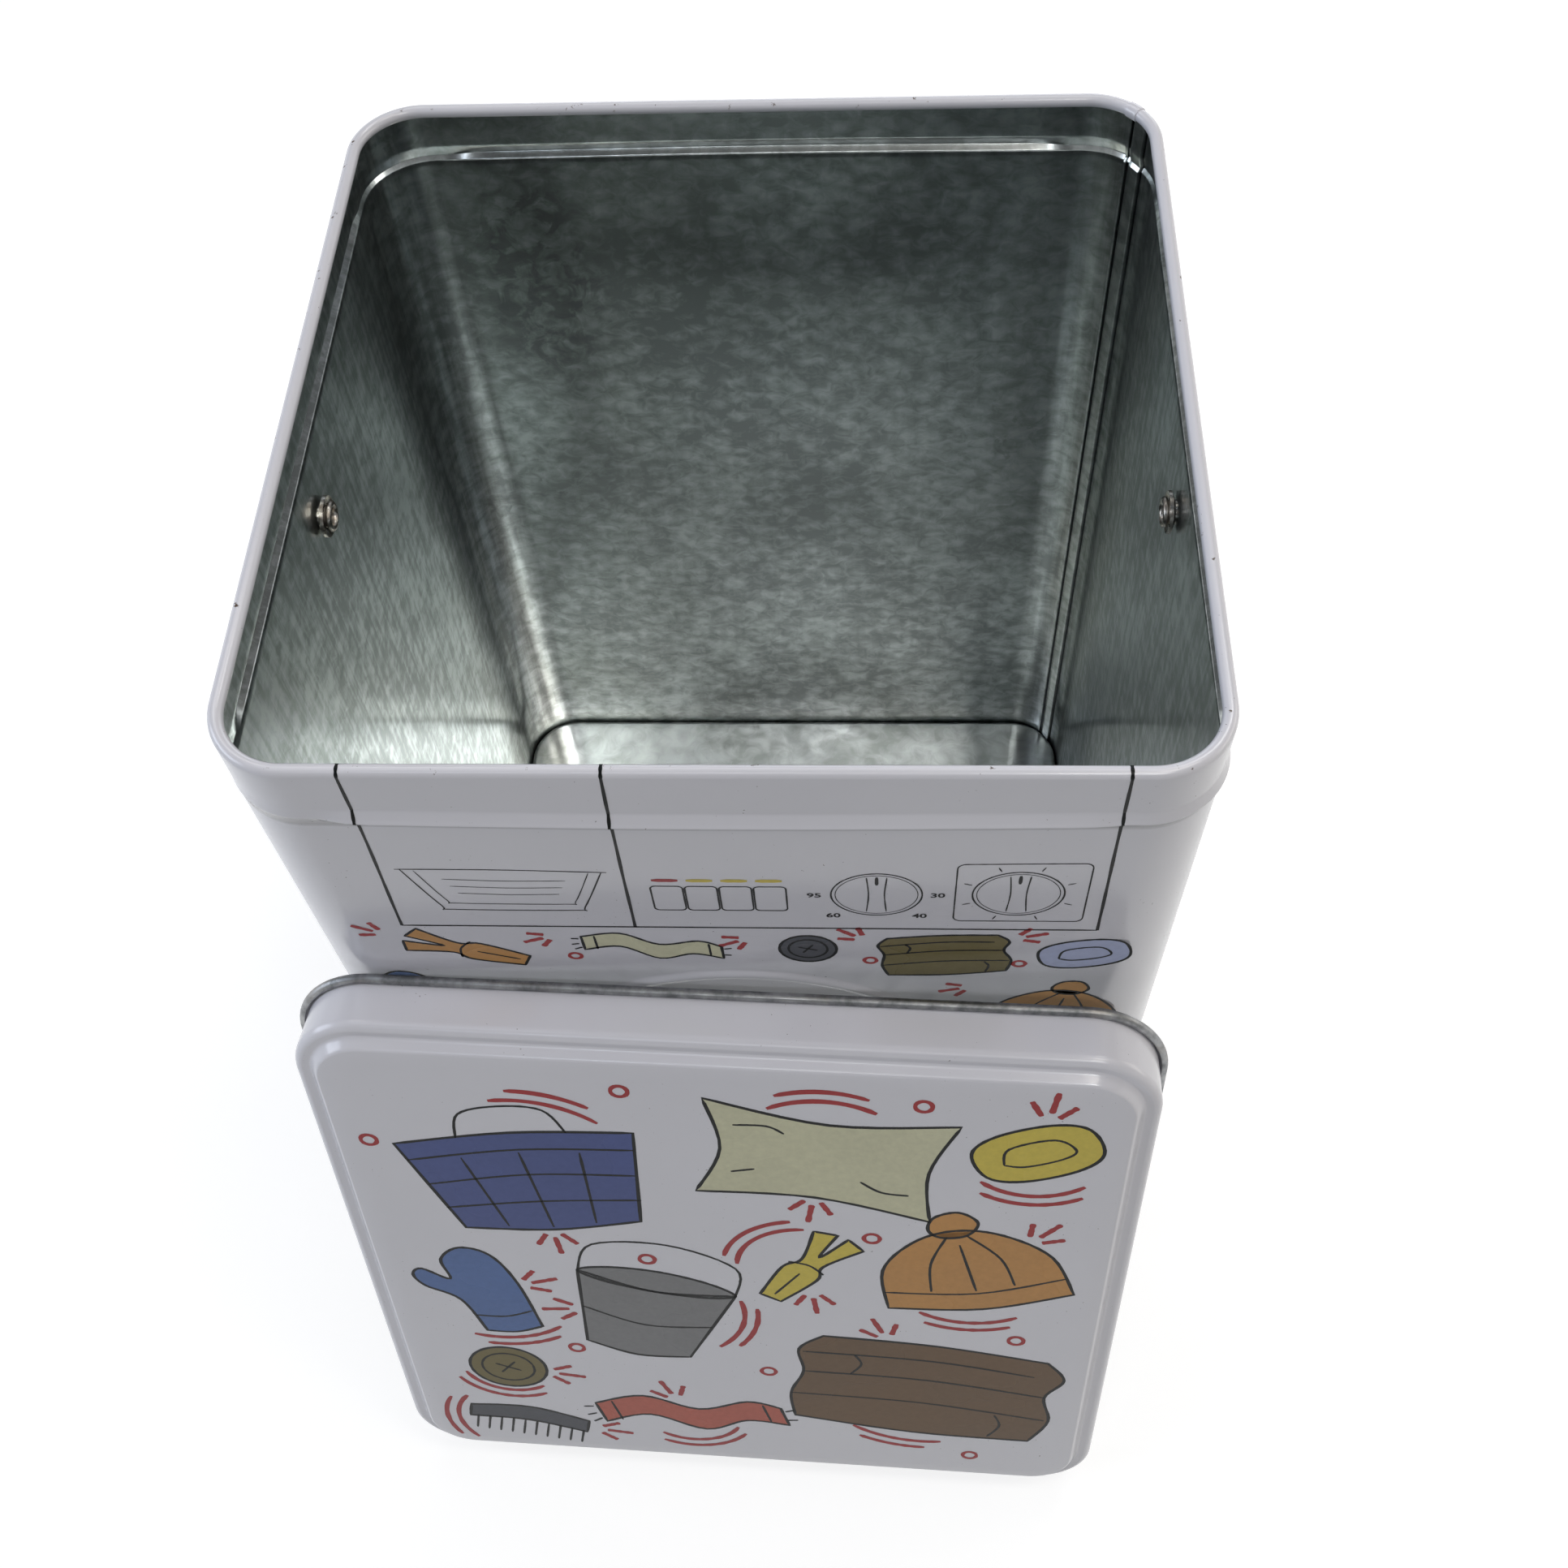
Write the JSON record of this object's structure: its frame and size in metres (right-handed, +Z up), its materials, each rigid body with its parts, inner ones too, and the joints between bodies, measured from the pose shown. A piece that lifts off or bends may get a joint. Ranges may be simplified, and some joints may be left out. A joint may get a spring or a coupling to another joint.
{
  "type": "detergent canister",
  "caption": "Square tinplate canister for washing powder with a slip-on lid leaning on its front and a wire bail with a wooden roller.",
  "frame": {"origin": "on the floor, at the middle of the whole object's footprint with the lid leaning in front and the bail hanging behind", "axes": "+Z up; -Y is the printed front that the lid leans on, +Y the back where the bail hangs; +X to the right seen from the front, along the bail's pivot line"},
  "size_m": [0.1952, 0.2668, 0.2555],
  "materials": {
    "white_lacquer": "gloss",
    "bare_tinplate": "mottled satin",
    "zinc_steel": "satin",
    "turned_beech": "smooth"
  },
  "bodies": {
    "tin": {"body_shell": "white_lacquer", "base_panel": "bare_tinplate", "rivet_left": "zinc_steel", "rivet_right": "zinc_steel", "inner_washer_left": "zinc_steel", "inner_washer_right": "zinc_steel", "outer_washer_left": "zinc_steel", "outer_washer_right": "zinc_steel"},
    "lid": {"lid": "white_lacquer"},
    "bail": {"bail_wire": "zinc_steel"},
    "grip": {"bail_grip": "turned_beech"}
  },
  "joints": [
    {"name": "lid_lift", "type": "slide", "parent": "tin", "child": "lid", "axis": [0, -0.6, 0.8], "range_m": [0, 0.25]},
    {"name": "bail_swing", "type": "hinge", "parent": "tin", "child": "bail", "pos_m": [0, 0.01713, 0.225], "axis": [1, 0, 0], "range_deg": [0, 222]},
    {"name": "grip_spin", "type": "hinge", "parent": "bail", "child": "grip", "pos_m": [0, 0.12343, 0.17377], "axis": [1, 0, 0], "continuous": true}
  ]
}
